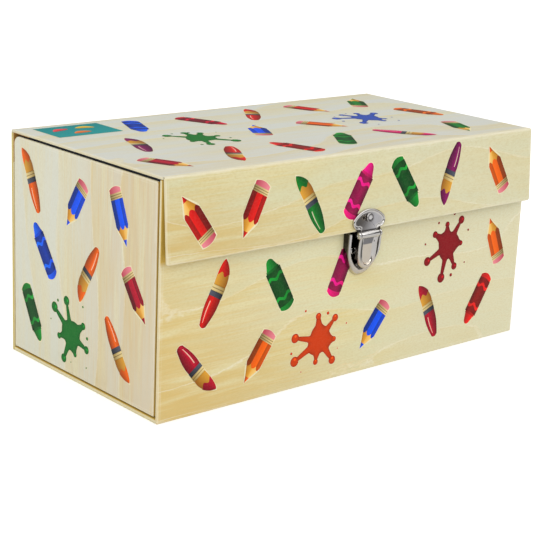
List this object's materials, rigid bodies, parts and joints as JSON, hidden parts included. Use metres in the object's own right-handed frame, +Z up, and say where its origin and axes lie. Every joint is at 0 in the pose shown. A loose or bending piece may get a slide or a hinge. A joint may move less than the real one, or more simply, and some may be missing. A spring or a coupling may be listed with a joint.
{
  "type": "drawer box",
  "caption": "Wrapped board case for art supplies, with a hinged lid, a front flap on a metal flip clasp, a shallow top tray and a drawer at each end.",
  "frame": {"origin": "middle of the underside of the case", "axes": "+X along the length, +Y towards the lid's hinge, +Z up; the flap and the clasp are at -Y"},
  "size_m": [0.3, 0.1631, 0.141],
  "materials": {
    "printed_wrap": "satin",
    "black_card": "matte",
    "lining_paper": "matte",
    "tan_strip": "matte",
    "bright_nickel": "polished",
    "steel": "polished"
  },
  "bodies": {
    "case": {"base_board": "printed_wrap", "front_board": "printed_wrap", "back_board": "printed_wrap", "front_liner": "black_card", "back_liner": "black_card", "drawer_bay_wall": "black_card", "tray_floor": "black_card", "tray_left_end": "black_card", "tray_right_end": "black_card", "tray_back_divider": "black_card", "tray_front_divider": "black_card", "tray_pencil_stop": "black_card", "tray_corner_divider": "black_card", "tray_eraser_divider": "black_card", "back_hinge_strip": "tan_strip", "clasp_cup": "bright_nickel", "clasp_catch": "steel", "clasp_cup_rivets": "steel"},
    "lid": {"lid_board": "printed_wrap", "lid_lining": "lining_paper", "lid_hinge_strip": "tan_strip"},
    "flap": {"flap_board": "printed_wrap", "flap_lining": "lining_paper", "clasp_plate": "bright_nickel", "clasp_plate_rivet": "steel", "clasp_pin": "steel"},
    "tongue": {"clasp_tongue": "bright_nickel"},
    "left_drawer": {"left_drawer_panel": "printed_wrap", "left_drawer_floor": "black_card", "left_drawer_head": "black_card", "left_drawer_tail": "black_card", "left_drawer_near_side": "black_card", "left_drawer_far_side": "black_card", "left_drawer_long_divider": "black_card", "left_drawer_cross_divider": "black_card"},
    "right_drawer": {"right_drawer_panel": "printed_wrap", "right_drawer_floor": "black_card", "right_drawer_head": "black_card", "right_drawer_tail": "black_card", "right_drawer_near_side": "black_card", "right_drawer_far_side": "black_card", "right_drawer_long_divider": "black_card", "right_drawer_cross_divider": "black_card"}
  },
  "joints": [
    {"name": "lid_hinge", "type": "hinge", "parent": "case", "child": "lid", "pos_m": [0, 0.0768, 0.1394], "axis": [-1, 0, 0], "range_deg": [0, 180]},
    {"name": "flap_hinge", "type": "hinge", "parent": "lid", "child": "flap", "pos_m": [0, -0.0772, 0.141], "axis": [-1, 0, 0], "range_deg": [0, 180]},
    {"name": "clasp_hinge", "type": "hinge", "parent": "flap", "child": "tongue", "pos_m": [0, -0.08429, 0.09088], "axis": [-1, 0, 0], "range_deg": [0, 110]},
    {"name": "left_drawer_slide", "type": "slide", "parent": "case", "child": "left_drawer", "axis": [-1, 0, 0], "range_m": [0, 0.12]},
    {"name": "right_drawer_slide", "type": "slide", "parent": "case", "child": "right_drawer", "axis": [1, 0, 0], "range_m": [0, 0.12]}
  ]
}
